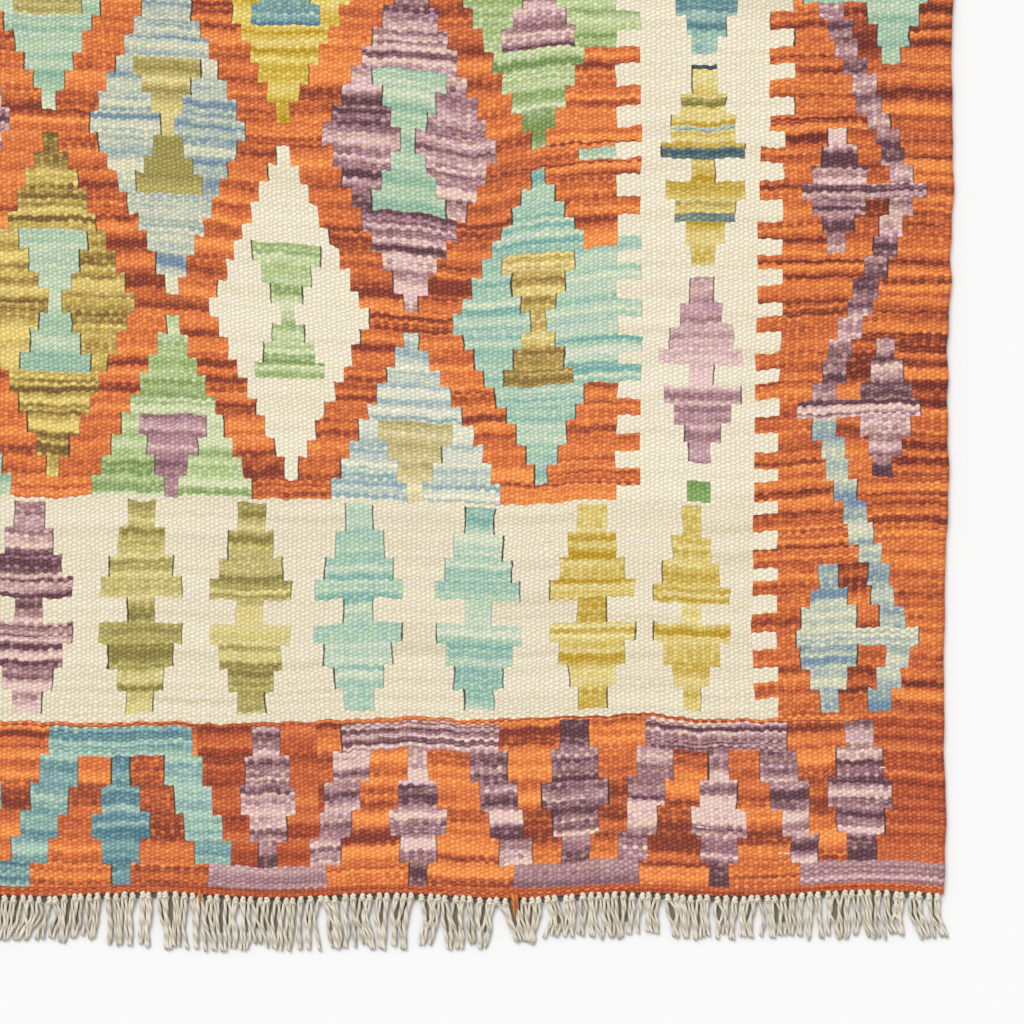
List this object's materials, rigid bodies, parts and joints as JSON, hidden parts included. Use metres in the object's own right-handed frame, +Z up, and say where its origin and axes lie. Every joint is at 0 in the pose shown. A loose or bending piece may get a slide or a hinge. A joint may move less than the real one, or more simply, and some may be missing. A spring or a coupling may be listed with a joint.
{
  "type": "kilim rug",
  "caption": "Flat-woven wool rug with a stepped-diamond field, combed side borders, patterned end borders and a knotted warp fringe along both short ends.",
  "frame": {"origin": "centre of the footprint, both fringes included, on the surface that the rug lies on", "axes": "+X across the rug, +Y along its length, +Z up from the underside to the face"},
  "size_m": [1.028, 1.54, 0.0044],
  "materials": {
    "woven_wool": "matte weft-faced wool in orange, cream, purple, teal, olive, yellow and green",
    "warp_cotton": "matte undyed two-ply warp yarn, knotted at its root"
  },
  "bodies": {
    "root": {"woven_panel": "woven_wool", "fringe_near": "warp_cotton", "fringe_far": "warp_cotton"}
  },
  "joints": []
}
